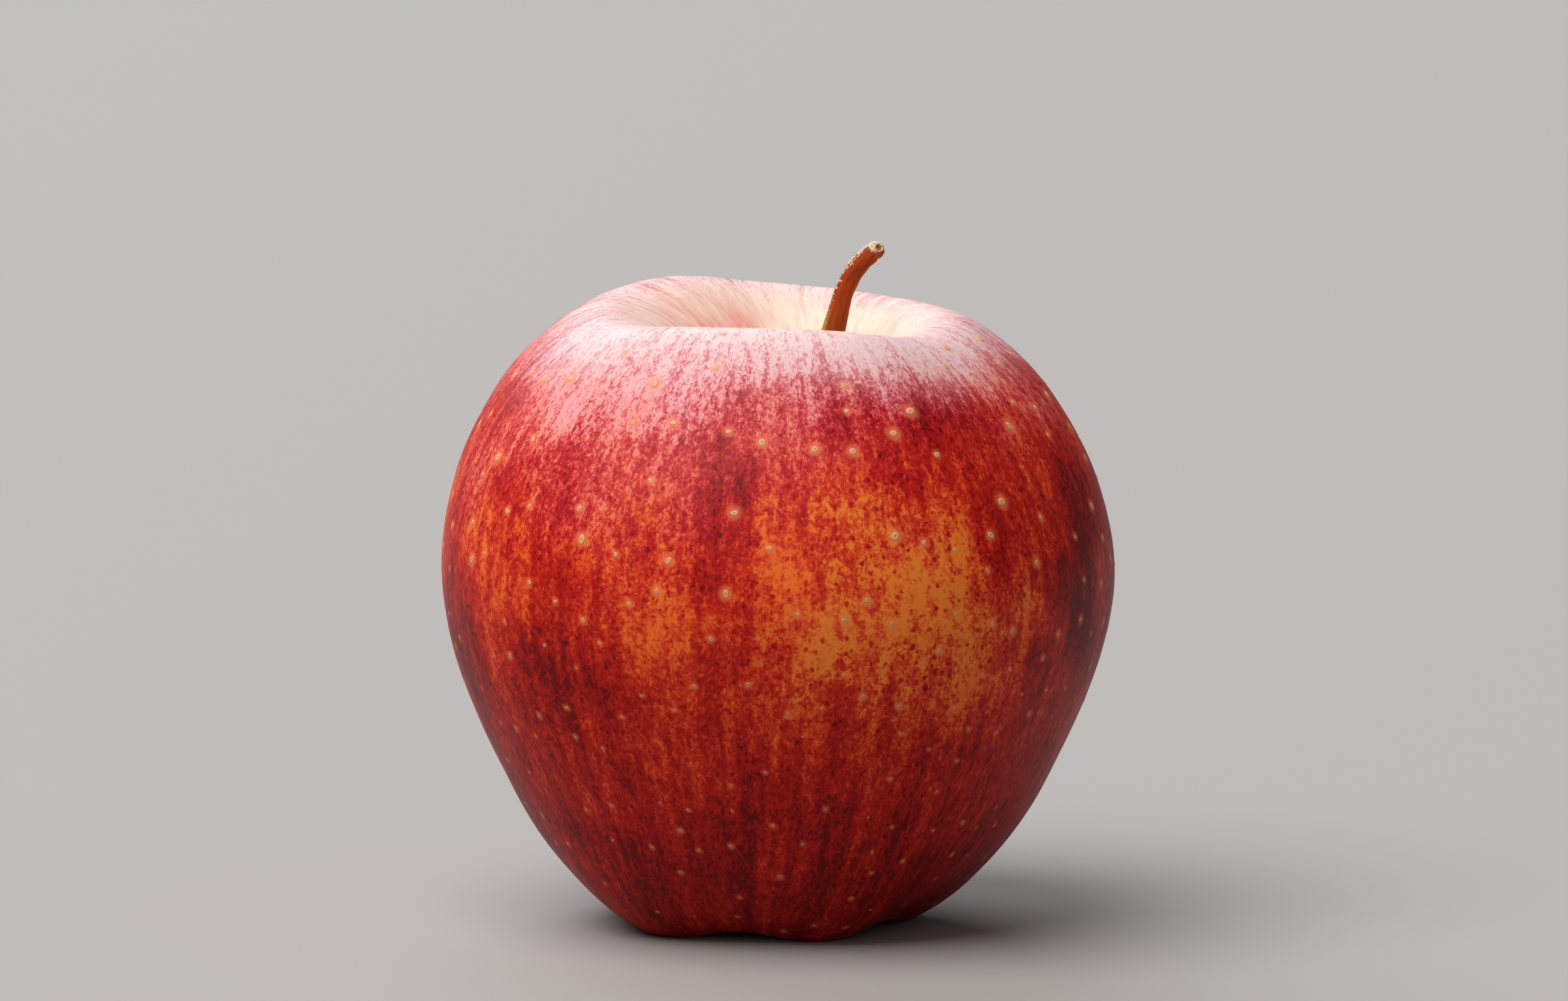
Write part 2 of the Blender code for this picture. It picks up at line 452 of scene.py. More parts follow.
# %% Where the sun has coloured the skin, and where sheen and shade are painted on it
# The first list says how red the skin is, the second how pink and pale the upper skin looks, partly its
# own colour and partly painted sheen, and the third how yellow its ground is. Each patch has its angle
# from the front and the height of its middle in millimetres, then half its width in degrees, half its
# height in millimetres, and its strength.
PAINT = {
    "blush": [
        # The first patch, a band low all around, deepens the red towards the foot: partly painted shade.
        (0, 5, 300, 14, 0.25), (0, 46, 300, 60, 0.52),
        (28, 37, 14, 13, -0.24), (11, 44, 6, 8, -0.20), (-8, 33, 16, 16, -0.14),
        (3, 35, 3.5, 12, 0.22), (-36, 31, 8, 9, 0.40), (-38, 45, 10, 6, -0.16),
        (-58, 42, 5, 14, -0.18), (69, 40, 14, 12, 0.70), (38, 39, 6, 12, -0.17),
        (-68, 34, 9, 10, 0.36), (-25, 51, 24, 6, 0.05), (-5, 42, 7, 6, 0.14),
        # The patch at -24 degrees and 63 mm pales the front-left crown under the main lamp: partly painted
        # sheen.
        (40, 65, 30, 5, -0.25), (34, 55, 13, 7, 0.35), (-24, 63, 36, 6, -0.34),
        (-74, 36, 9, 20, 0.25), (8, 57, 12, 8, 0.25),
        (150, 40, 26, 18, -0.40), (115, 30, 12, 20, 0.30), (190, 48, 16, 14, 0.35),
        (-110, 44, 18, 20, -0.25), (-138, 61, 22, 7, 0.75), (178, 63, 22, 5, -0.35),
    ],
    "rosy": [
        # Pale pink of the crown and the front-left shoulder: partly the skin's own colour, partly painted
        # sheen.
        (0, 67, 400, 9, 1.0), (-48, 52, 30, 9, 0.36), (-8, 54, 18, 8, 0.20), (25, 60, 18, 5, 0.25),
    ],
    "gold": [
        (28, 37, 15, 15, 1.0), (-8, 30, 20, 14, 0.30), (-58, 44, 6, 16, 0.4),
        (12, 45, 9, 9, 0.6), (-30, 43, 16, 7, 0.45),
        (150, 40, 30, 20, 0.9), (-115, 42, 20, 20, 0.6), (70, 20, 20, 10, 0.2),
    ],
}
# The patches' edges wander: how many turns to a metre, and how far they go around and up.
WANDER_TURNS = 95.0
WANDER_AROUND = 0.9
WANDER_UP = 20 * MM
print({name: len(patches) for name, patches in PAINT.items()}, "patches")


# %% Sweeping an outline around, as a potter's wheel does
def smooth_outline(tree, chain):
    """A smooth curve through the points of a chain, keeping their attributes."""
    line = add_node(tree, "GeometryNodeMeshToCurve", {"Mesh": chain}).outputs[0]
    kind = "GeometryNodeCurveSplineType"
    line = add_node(tree, kind, {"Curve": line}, spline_type="CATMULL_ROM").outputs[0]
    settings = {"Geometry": line, "Resolution": 16}
    return add_node(tree, "GeometryNodeSetSplineResolution", settings).outputs[0]


def swept(tree, outline, around, down):
    """A flat grid, and for each of its points the turn, radius, height and length that it stands for."""
    grid = add_node(tree, "GeometryNodeMeshGrid", {"Vertices X": around, "Vertices Y": down})
    turn, along, _ = Field(tree, grid.outputs["UV Map"]).split()
    settings = {"Curves": outline, "Factor": along}
    found = add_node(tree, "GeometryNodeSampleCurve", settings, mode="FACTOR", use_all_curves=True)
    radius, _, height = Field(tree, found.outputs["Position"]).split()
    length = Field(tree, add_node(tree, "GeometryNodeCurveLength", {0: outline}).outputs[0]) * along
    return grid.outputs["Mesh"], turn * math.tau, radius, height, length


def shaped(tree, mesh, position):
    """Moves the grid to its place, and welds seam and poles into a closed skin that faces outward."""
    settings = {"Geometry": put(tree, mesh, position), "Distance": WELD}
    mesh = add_node(tree, "GeometryNodeMergeByDistance", settings).outputs[0]
    return add_node(tree, "GeometryNodeFlipFaces", {0: mesh}).outputs[0]


def material_named(name):
    return bpy.data.materials.get(name) or bpy.data.materials.new(name)


def finish_tree(tree, end, geometry, material_name, smooth=True):
    """Ends a tree: one real mesh, with the material that a later cell paints."""
    settings = {"Geometry": geometry, "Shade Smooth": smooth}
    shaded = add_node(tree, "GeometryNodeSetShadeSmooth", settings).outputs[0]
    real = add_node(tree, "GeometryNodeRealizeInstances", {0: shaded}).outputs[0]
    settings = {"Geometry": real, "Material": material_named(material_name)}
    send(end, "Geometry", add_node(tree, "GeometryNodeSetMaterial", settings).outputs[0])
    return tree


# %% The tree that grows the fruit
def uneven(tree, skin, amount):
    """Skin is never quite even: slow dents a centimetre across, and fainter small ones over them."""
    place = place_in(tree)
    dents = swing(place.scaled(SLOW_DENTS)) + swing(place.scaled(SMALL_DENTS)) * SMALL_DENT_SHARE
    return push(tree, skin, outward_in(tree).scaled(dents * amount))


def stand_up(tree, skin, pressed):
    """Centres the fruit over the origin and presses the lowest skin of each lobe flat on the floor."""
    box = add_node(tree, "GeometryNodeBoundBox", {0: skin})
    low_x, low_y, low_z = Field(tree, box.outputs["Min"]).split()
    high_x, high_y, _ = Field(tree, box.outputs["Max"]).split()
    x, y, z = place_in(tree).split()
    x = x - (low_x + high_x) / 2
    y = y - (low_y + high_y) / 2
    return put(tree, skin, join(x, y, (z - low_z - pressed).at_least(0.0)))


def colour_skin(tree, skin, angle, place):
    """Stores how strongly each kind of patch colours the skin."""
    sideways, upwards, _ = drift(place.scaled(WANDER_TURNS), 3.0).split()
    _, _, height = place.split()
    away_from_front = angle + math.pi / 2 + sideways * WANDER_AROUND
    height = height + upwards * WANDER_UP
    for name, patches in PAINT.items():
        total = 0.0
        for degrees, middle, half_width, half_height, strength in patches:
            away = (away_from_front - math.radians(degrees)).cos() - 1
            across = (away / math.radians(half_width) ** 2).exp()
            total = across * height.near(middle * MM, half_height * MM) * strength + total
        skin = store(tree, skin, name, total)
    return skin


def fruit_tree():
    tree, given, end = geometry_tree("grow_fruit", GROWTH)
    outline = smooth_outline(tree, given["Geometry"])
    counts = (given["Points around"], given["Points down"])
    skin, angle, radius, height, length = swept(tree, outline, *counts)

    lobe = (LOBES * (angle - LOBE_ANGLE)).cos()
    ribbed = radius.step(*RIB_RADII)
    foot = height.step(*FOOT_HEIGHTS) * radius.step(*FOOT_RADII)
    crown = height.step(*CROWN_HEIGHTS) * radius.step(*CROWN_RADII)
    cavity = radius.step(*CAVITY_RADII) * height.above(CROWN_HEIGHT / 2)
    wide = radius + ribbed * (given["Rib rise"] * lobe + given["Oval rise"] * (2 * angle).cos())
    wide = wide - foot * given["Foot pinch"] * (1 - lobe) / 2
    x = wide * angle.cos() + cavity * given["Cavity shift"] + foot * given["Foot shift"]
    y = wide * angle.sin()
    z = height + foot * given["Notch height"] * (1 - lobe) / 2
    z = z + crown * (given["Tilt to back"] * y - given["Tilt to left"] * x)
    for swelling, rise, sharpness in CROWN_SWELLINGS:
        z = z + crown * rise * (sharpness * ((angle - swelling).cos() - 1)).exp()

    grown = join(x, y, z)
    around = join(angle.cos() * FRUIT_RADIUS, angle.sin() * FRUIT_RADIUS, length)
    skin = store(tree, skin, "skin_map", around, "FLOAT_VECTOR")
    skin = shaped(tree, colour_skin(tree, skin, angle, grown), grown)
    skin = stand_up(tree, uneven(tree, skin, given["Unevenness"]), given["Pressed flat"])
    return finish_tree(tree, end, skin, "apple_skin")


outline_points = [(radius * FRUIT_RADIUS, 0.0, height * CROWN_HEIGHT) for radius, height in OUTLINE]
fruit = run_tree(chain_piece("apple_skin", outline_points), fruit_tree(), GROWTH)

# %% [markdown]
# ## Pores
# Apple skin breathes through small corky pores. They are few and large at the shoulder, and many and
# small lower down. Each is a pale raised dot with a brown crack, in a soft halo where the red has not
# formed. The dots could be painted, but a real rise catches the light at every angle. One tree lays
# the points, and both the halos and the dots read it, so they always agree.

# %% Lay out the pores
PORES = {
    "Least spacing": 3.0 * MM,
    "Per square metre": 62000.0,
    "Smallest": 0.12 * MM,
    "Largest": 0.44 * MM,
    "Seed": 7,
}
# How far along the skin from the stem the pores set in, and where they end before the calyx.
PORES_SET_IN = (22 * MM, 30 * MM)
PORES_END = (124 * MM, 116 * MM)
# The heights over which they become denser going down, and larger going up.
DENSER_DOWN = (62 * MM, 36 * MM)
LARGER_UP = (22 * MM, 50 * MM)
# The halos are read from the pores, and reach this many sizes of a pore.
HALO = {"Pores": "Object", "Reach": 3.6}


def pore_layout():
    tree, given, end = geometry_tree("pore_layout", PORES)
    _, _, height = place_in(tree).split()
    _, _, length = named(tree, "skin_map", "FLOAT_VECTOR").split()
    outside = length.step(*PORES_SET_IN) * length.step(*PORES_END)
    settings = {
        "Mesh": given["Geometry"],
        "Distance Min": given["Least spacing"],
        "Density Max": given["Per square metre"],
        "Density Factor": outside * (0.62 + 0.38 * height.step(*DENSER_DOWN)),
        "Seed": given["Seed"],
    }
    kind = "GeometryNodeDistributePointsOnFaces"
    scattered = add_node(tree, kind, settings, distribute_method="POISSON")
    chance = random_number(tree, 0.0, 1.0, 3)
    share = chance * 0.3 + (0.35 + 0.35 * chance) * height.step(*LARGER_UP)
    size = given["Smallest"] + (given["Largest"] - given["Smallest"]) * share
    points = store(tree, scattered.outputs["Points"], "size", size)
    points = store(tree, points, "upward", Field(tree, scattered.outputs["Normal"]), "FLOAT_VECTOR")
    send(end, "Geometry", add_node(tree, "GeometryNodePointsToVertices", {0: points}).outputs[0])
    return tree


pore_points = run_tree(new_piece("pore_points", fruit.data.copy()), pore_layout(), PORES)


def halo_tree():
    """Marks the skin around each pore, by the distance to the nearest one in sizes of that pore."""
    tree, given, end = geometry_tree("pore_halos", HALO)
    pores = add_node(tree, "GeometryNodeObjectInfo", {"Object": given["Pores"]}).outputs["Geometry"]
    nearest = add_node(tree, "GeometryNodeSampleNearest", {"Geometry": pores}, domain="POINT").outputs[0]

    def of_nearest(value, shape):
        settings = {"Geometry": pores, "Value": value, "Index": nearest}
        return Field(tree, add_node(tree, "GeometryNodeSampleIndex", settings, data_type=shape).outputs[0])

    place = place_in(tree)
    pore_place = of_nearest(place, "FLOAT_VECTOR")
    away = place.vector("DISTANCE", pore_place, output="Value") / of_nearest(named(tree, "size"), "FLOAT")
    halo = (1.0 - away / given["Reach"]).at_least(0.0)
    return finish_tree(tree, end, store(tree, given["Geometry"], "halo", halo), "apple_skin")


fruit = run_tree(fruit, halo_tree(), {"Pores": pore_points})

# %% [markdown]
# ## Painting the skin
# The colour of an apple is red pigment laid in strokes over a yellow ground. The strokes follow the
# skin from the cavity to the calyx, so most patterns here are stretched along that way. They come in
# many sizes: clouds and broad bands, thin streaks, clumps and flecks under a millimetre, and grain.
# The red is not a film of one strength. Where the patterns add up over a limit the skin is red, where
# they add up further it turns crimson, and where they fall short the yellow ground shows through.
# A waxy bloom veils the crown, and painted sheen whitens it further; the cavity, which sees little sun,
# stays pale.
# The pale pinks and mauve reds of the upper skin are partly painted sheen, and the deeper red towards the
# foot is partly painted shade.
# Patterns that several finishes use are node groups, built once. They give values only, and the
# shader stays in each material.

# %% Helpers for materials
def attribute(tree, name, output="Fac"):
    node = add_node(tree, "ShaderNodeAttribute", attribute_name=name)
    return Field(tree, node.outputs[output])


def solid_place(tree):
    """The place on the piece, in millimetres."""
    return Field(tree, add_node(tree, "ShaderNodeTexCoord").outputs["Object"]).scaled(1 / MM)


def material_tree(name):
    material = material_named(name)
    material.use_nodes = True
    return material.node_tree


def paint(name, values):
    """Feeds the material's own shader, each socket with a pattern or a plain number."""
    tree = material_named(name).node_tree
    shader = tree.nodes["Principled BSDF"]
    for socket, value in values.items():
        if isinstance(value, Field):
            tree.links.new(value.socket, shader.inputs[socket])
        else:
            shader.inputs[socket].default_value = value
    print(name, "is painted with", len(tree.nodes), "nodes")


def bump(height, distance, strength):
    """The normal of a surface that rises by height times distance."""
    settings = {"Height": height, "Distance": distance, "Strength": strength}
    return Field(height.tree, add_node(height.tree, "ShaderNodeBump", settings).outputs[0])


def use_group(group, place, values):
    """Places a shared group in the tree that the place belongs to."""
    settings = {"Place": place, **values}
    node = add_node(place.tree, "ShaderNodeGroup", settings, node_tree=group)
    return Field(place.tree, node.outputs[0])


def stretched(place, given):
    """The place, measured in widths across and in lengths along the third axis."""
    x, y, z = place.split()
    return join(x / given["Width"] + given["Shift"], y / given["Width"], z / given["Length"])


# %% Groups for strokes, cells and dots
def strokes_group():
    """Noise stretched along the third axis: strokes of a given width and length, from about -1 to 1."""
    inputs = {"Place": "Vector", "Width": 1.0, "Length": 4.0, "Detail": 2.0, "Shift": 0.0}
    tree, given, end = new_tree("strokes", "ShaderNodeTree", inputs, {"Value": "Float"})
    send(end, "Value", swing(stretched(given["Place"], given), given["Detail"], 0.55))
    return tree


STROKES = strokes_group()


def strokes(place, width, length, detail=2.0, shift=0.0):
    values = {"Width": width, "Length": length, "Detail": detail, "Shift": shift}
    return use_group(STROKES, place, values)


def cells_group():
    """Small ragged patches side by side, each with a value of its own from about -1 to 1."""
    inputs = {"Place": "Vector", "Width": 0.5, "Length": 0.7, "Raggedness": 0.3, "Shift": 0.0}
    tree, given, end = new_tree("cells", "ShaderNodeTree", inputs, {"Value": "Float"})
    ragged = drift(given["Place"].scaled(3.1), 2.0).scaled(given["Raggedness"] * 2.0)
    place = stretched(given["Place"].vector("ADD", ragged), given)
    patches = add_node(tree, "ShaderNodeTexVoronoi", {"Vector": place, "Scale": 1.0})
    own, _, _ = Field(tree, patches.outputs["Color"]).split()
    send(end, "Value", own * 2.0 - 1.0)
    return tree


CELLS = cells_group()


def cells(place, width, length, raggedness, shift=0.0):
    values = {"Width": width, "Length": length, "Raggedness": raggedness, "Shift": shift}
    return use_group(CELLS, place, values)


def dots_group():
    """Round dots with space between them: about 1 inside a dot and 0 outside."""
    inputs = {"Place": "Vector", "Spacing": 1.0}
    tree, given, end = new_tree("dots", "ShaderNodeTree", inputs, {"Value": "Float"})
    ragged = drift(given["Place"].scaled(4.0), 1.0).scaled(0.35)
    x, y, z = given["Place"].vector("ADD", ragged).split()
    spread = join(x / given["Spacing"], y / given["Spacing"], z / (given["Spacing"] * 1.25))
    points = add_node(tree, "ShaderNodeTexVoronoi", {"Vector": spread, "Scale": 1.0})
    size, _, _ = Field(tree, points.outputs["Color"]).split()
    inside = size * 0.42 - Field(tree, points.outputs["Distance"])
    send(end, "Value", inside.step(-0.02, 0.08))
    return tree


DOTS = dots_group()


def dots(place, spacing):
    return use_group(DOTS, place, {"Spacing": spacing})


print("groups:", [group.name for group in (STROKES, CELLS, DOTS)])

# %% The skin material
GOLD = (0.74, 0.19, 0.024)
ORANGE = (0.78, 0.13, 0.018)
SCARLET = (0.60, 0.030, 0.008)
RED = (0.40, 0.008, 0.004)
CRIMSON = (0.130, 0.002, 0.003)
# The pale pink ground of the upper skin: partly painted sheen.
PALE_PINK_SHEEN = (0.66, 0.33, 0.35)
# Reds of the upper skin, tinted mauve: partly painted sheen.
ROSE_SHEEN_RED = (0.55, 0.040, 0.062)
WINE_SHEEN_RED = (0.36, 0.008, 0.030)
# The near white ground of the crown: partly painted sheen.
CROWN_SHEEN_WHITE = (0.71, 0.58, 0.57)
CREAM = (0.80, 0.67, 0.54)
WASHED_PINK = (0.76, 0.20, 0.18)
# The crown's waxy bloom, whitened by painted sheen.
BLOOM_AND_SHEEN_WHITE = (0.71, 0.57, 0.58)
# A mauve pink of the upper skin: partly painted sheen.
SOFT_ROSE_SHEEN = (0.60, 0.13, 0.17)
YOUNG_SKIN = (0.80, 0.72, 0.26)
RUSSET = (0.34, 0.15, 0.035)
HALO_ORANGE = (0.70, 0.18, 0.07)


def skin_material():
    tree = material_tree("apple_skin")
    place = attribute(tree, "skin_map", "Vector").scaled(1 / MM)
    _, _, along = place.split()
    solid = solid_place(tree)
    _, _, height = solid.split()
    blush = attribute(tree, "blush")
    gold = attribute(tree, "gold")
    # How pale and pink the upper skin looks: partly its own colour, partly painted sheen.
    upper = attribute(tree, "rosy").at_most(1.0)

    # The patterns, from broad to fine.
    bands = strokes(place, 4.2, 42.0, 2.0)
    streaks = strokes(place, 1.3, 11.0, 3.0, 20.0)
    clouds = swing(solid.scaled(1 / 9), 3.0)
    clumps = strokes(place, 0.95, 1.7, 3.0, 40.0)
    flecks = cells(place, 0.31, 0.44, 0.14, 3.0)
    grain = cells(place, 0.16, 0.21, 0.07, 9.0)
    spots = dots(place, 0.85)
    brush = strokes(place, 2.4, 3.2, 3.0, 60.0)

    # How much red pigment there is, with painted shade deepening it towards the foot and painted sheen
    # thinning it at the crown.
    halo = (attribute(tree, "halo") + clumps * 0.22 - 0.06).step(0.05, 0.70)
    cavity = along.step(25.0, 15.0)
    crown = along.step(36.0, 24.0)
    # Deeper red towards the foot: partly painted shade under the fruit.
    foot = height.step(38.0, 10.0)
    coverage = blush + bands * 0.44 + streaks * 0.48 + clouds * 0.46
    coverage = coverage - crown * (0.16 - streaks * 0.25) + foot * 0.42
    small = clumps * 0.50 + flecks * (0.20 + 0.08 * upper) + grain * (0.12 + 0.16 * upper)
    small = small + spots * (0.20 + 0.24 * gold.at_most(1.0)) * (1.0 - 0.6 * upper)
    mark = coverage + small * (1.0 - halo * 0.8) - halo * 0.26

    # The ground under the red, paler and pinker towards the crown: partly its own colour, partly painted
    # sheen.
    ground = mix_colours((gold + clouds * 0.5 + bands * 0.3).step(0.0, 1.0), ORANGE, GOLD)
    pinkish_sheen_share = upper * (1.0 - halo * 0.6) + grain * 0.12 - gold * 0.35
    ground = mix_colours(pinkish_sheen_share, ground, PALE_PINK_SHEEN)
    ground = mix_colours(crown * 0.8, ground, CROWN_SHEEN_WHITE)
    # Mauve-pink flecks over the upper skin: partly their own colour, partly painted sheen.
    mottle = (flecks * 0.6 + grain * 0.5 + clumps * 0.9).step(-0.2, 0.6)
    ground = mix_colours(mottle * upper * (1.0 - crown * 0.4) * 0.62, ground, SOFT_ROSE_SHEEN)

    # The red over the ground, deeper where more of it adds up. On the upper skin it is tinted mauve,
    # partly painted sheen.
    rosy = upper * 0.85 + clumps * 0.3
    upper_sheen_red = mix_colours(along.step(44.0, 28.0), ROSE_SHEEN_RED, SOFT_ROSE_SHEEN)
    colour = mix_colours(mark.step(0.02, 0.48) * 0.94, ground, mix_colours(rosy, SCARLET, upper_sheen_red))
    colour = mix_colours(mark.step(0.36, 0.80), colour, mix_colours(rosy, RED, WINE_SHEEN_RED))
    colour = mix_colours(mark.step(0.72, 1.35), colour, CRIMSON)
    colour = mix_colours(halo * 0.55, colour, HALO_ORANGE)

    # The waxy veil over the crown, whitened by painted sheen, the pale cavity, and the skin by the stem
    # and in the calyx.
    bloom_and_sheen = crown * (0.32 + clouds * 0.2 + brush * 0.2 + grain * 0.16 - streaks * 0.25)
    colour = mix_colours(bloom_and_sheen, colour, BLOOM_AND_SHEEN_WHITE)
    washed = (blush + clouds * 0.5 + brush * 0.9 + streaks * 0.2 - 0.30).step(-0.2, 1.0)
    colour = mix_colours(cavity, colour, mix_colours(washed * 0.75, CREAM, WASHED_PINK))
    by_the_stem = along.step(9.0, 3.0) * (clouds * 0.5 + streaks * 0.5 + 0.70)
    colour = mix_colours(by_the_stem * 0.7, colour, YOUNG_SKIN)
    calyx = along.step(112.5, 119.0) * (clouds * 0.3 + streaks * 0.5 + 0.7)
    colour = mix_colours(calyx * 0.8, colour, RUSSET)

    wax = noise(solid.scaled(1 / 1.7), 3.0)
    relief = flecks * 0.08 + noise(solid.scaled(2.2), 2.0) * 0.6 + halo * 0.8
    paint("apple_skin", {
        "Base Color": colour,
        "Roughness": 0.40 + wax * 0.12,
        "Normal": bump(relief, 0.05 * MM, 0.6),
        "Specular IOR Level": 0.10,
        "Coat Weight": 0.03,
        "Coat Roughness": 0.22,
    })


skin_material()

# %% Grow the pores
PORE_DOT = {"Sides": 11, "Rings": 6, "Dome": 0.16, "Raggedness": 0.16 * MM}
# The least and most of a dot's own stretch, and how many wobbles to a metre its ragged rim has.
DOT_STRETCH = ((0.8, 0.9, 0.8), (1.1, 1.5, 1.2))
RIM_WOBBLES = 2600.0


def pore_tree():
    tree, given, end = geometry_tree("pore_dots", PORE_DOT)
    settings = {"Segments": given["Sides"], "Rings": given["Rings"], "Radius": 1.0}
    ball = add_node(tree, "GeometryNodeMeshUVSphere", settings).outputs["Mesh"]
    x, y, z = place_in(tree).split()
    from_rim = 1.0 - (x * x + y * y).power(0.5)
    ball = store(tree, ball, "from_rim", from_rim * z.above(0.0))
    dimple = z * given["Dome"] * (1.0 - 0.75 * from_rim.step(0.55, 1.0))
    ball = put(tree, ball, join(x, y, dimple))

    upward = named(tree, "upward", "FLOAT_VECTOR")
    turn = add_node(tree, "FunctionNodeAlignRotationToVector", {"Vector": upward}, axis="Z").outputs[0]
    turn = spun(tree, turn, (0.0, 0.0, 0.0), (0.0, 0.0, math.tau), 5)
    size = random_vector(tree, *DOT_STRETCH, 6).scaled(named(tree, "size"))
    points = add_node(tree, "GeometryNodeMeshToPoints", {"Mesh": given["Geometry"]}).outputs[0]
    dots = copies(tree, points, ball, turn, size)
    ragged = drift(place_in(tree).scaled(RIM_WOBBLES), 1.0)
    rise = upward.scaled(ragged.vector("DOT_PRODUCT", upward, output="Value"))
    sideways = ragged.vector("SUBTRACT", rise).scaled(given["Raggedness"] * 2.0)
    return finish_tree(tree, end, push(tree, dots, sideways), "pore_cork")


PORE_RIM = (0.66, 0.17, 0.04)
PORE_RIM_HIGH = (0.72, 0.36, 0.20)
PORE_CORK = (0.60, 0.35, 0.14)
PORE_LOW = (0.50, 0.16, 0.04)
PORE_CRACK = (0.16, 0.05, 0.015)


def pore_material():
    tree = material_tree("pore_cork")
    inward = attribute(tree, "from_rim")
    solid = solid_place(tree)
    crumbs = swing(solid.scaled(9.0), 2.0)
    kind = noise(solid.scaled(0.4), 1.0)
    _, _, height = solid.split()
    cork = mix_colours(height.step(18.0, 48.0), PORE_LOW, PORE_CORK)
    rim = mix_colours(height.step(36.0, 60.0), PORE_RIM, PORE_RIM_HIGH)
    colour = mix_colours(inward.step(0.0, 0.35), rim, cork)
    crack = (inward + crumbs * 0.25 + (kind - 0.5) * 0.9).step(0.62, 0.9)
    colour = mix_colours(crack * 0.6, colour, PORE_CRACK)
    paint("pore_cork", {
        "Base Color": colour,
        "Roughness": 0.55 + crumbs * 0.1,
        "Normal": bump(crumbs, 0.03 * MM, 0.7),
    })


pores = run_tree(pore_points, pore_tree())
pores.name = "skin_pores"
pore_material()

# %% [markdown]
# ## The stem
# The stem is a woody stalk, about as thick as a matchstick, that leans and thickens towards the end
# where it let go of the twig. It is a tube along a smooth line, with a radius at each point of the line.
# The bark has fine furrows along it. Flakes of dry cork cling to its upper side, and over its end sits
# a torn scar: a ragged cap with a pale rim around a small hollow.

# %% The stem's line and the tree that follows it
# Points of the stem's middle line, from its root to its end: x, y, height and radius in millimetres.
STEM_LINE = [
    (3.2, 0.0, 51.6, 1.45), (3.4, 0.0, 54.2, 1.5), (4.2, -0.1, 58.0, 1.45), (5.2, -0.2, 61.6, 1.38),
    (6.1, -0.2, 64.6, 1.26), (6.6, -0.1, 66.6, 1.10), (7.25, 0.0, 68.7, 1.03), (8.1, 0.1, 70.4, 1.02),
    (9.1, 0.1, 71.75, 1.02), (9.8, 0.0, 72.35, 1.01), (10.15, -0.06, 72.60, 0.95),
    (10.40, -0.06, 72.78, 0.70),
]
STEM = {
    "Points around": 48,
    "Points along": 180,
    "Furrow depth": 0.045 * MM,
    "Swelling": 0.08 * MM,
}
FURROW_LENGTH = 2.8 * MM
LUMP_LENGTH = 1.6 * MM
LUMPY_END = (17 * MM, 21 * MM)


def smooth_line(tree, chain, count):
    line = smooth_outline(tree, chain)
    line = add_node(tree, "GeometryNodeResampleCurve", {"Curve": line, "Count": count}).outputs[0]
    measured = add_node(tree, "GeometryNodeSplineParameter").outputs["Length"]
    return store(tree, line, "along", measured)


def tube(tree, line, around):
    settings = {"Resolution": around, "Radius": 1.0}
    ring = add_node(tree, "GeometryNodeCurvePrimitiveCircle", settings).outputs[0]
    ring = store(tree, ring, "turned", place_in(tree), "FLOAT_VECTOR")
    settings = {"Curve": line, "Profile Curve": ring, "Scale": named(tree, "size"), "Fill Caps": True}
    return add_node(tree, "GeometryNodeCurveToMesh", settings).outputs[0]


def stem_tree():
    tree, given, end = geometry_tree("grow_stem", STEM)
    line = smooth_line(tree, given["Geometry"], given["Points along"])
    stem = tube(tree, line, given["Points around"])
    x, y, _ = named(tree, "turned", "FLOAT_VECTOR").split()
    along = named(tree, "along")
    furrow = swing(join(x * 5.0, y * 5.0, along / FURROW_LENGTH), 3.0)
    lump = swing(join(x * 1.1, y * 1.1, along / LUMP_LENGTH), 1.0) * (1.0 + along.step(*LUMPY_END))
    outward = outward_in(tree)
    stem = store(tree, stem, "facing", outward, "FLOAT_VECTOR")
    rise = furrow * given["Furrow depth"] + lump * given["Swelling"]
    return finish_tree(tree, end, push(tree, stem, outward.scaled(rise)), "stem_bark")


stem_points = [(x * MM, y * MM, z * MM) for x, y, z, _ in STEM_LINE]
stem_sizes = [size * MM for _, _, _, size in STEM_LINE]
stem = run_tree(chain_piece("apple_stem", stem_points, stem_sizes), stem_tree(), STEM)

# %% The torn scar at the end of the stem
# Half the cap's outline, from the hollow over the rim and down: radius and height in millimetres.
SCAR_OUTLINE = [
    (0.0, 0.54), (0.18, 0.55), (0.32, 0.66), (0.40, 0.86), (0.47, 0.93), (0.58, 0.85), (0.79, 0.64),
    (0.92, 0.38), (0.98, 0.10), (0.93, -0.20), (0.80, -0.42), (0.50, -0.60), (0.0, -0.64),
]
tip = Vector((10.42, -0.12, 72.82)) * MM
tip_direction = Vector((0.50, -0.74, 0.44)).normalized()
SCAR = {"Points around": 120, "Points down": 90, "Tear": 0.20 * MM}
# How many tears there are to a metre, and how many splits around the rim.
TEARS_ACROSS = 3600.0
TEARS_ALONG = 2400.0
RIM_SPLITS = 2.2
# Tears start away from the hollow's middle and above the cap's edge.
TORN_RADII = (0.1 * MM, 0.5 * MM)
TORN_HEIGHTS = (0.1 * MM, 0.6 * MM)


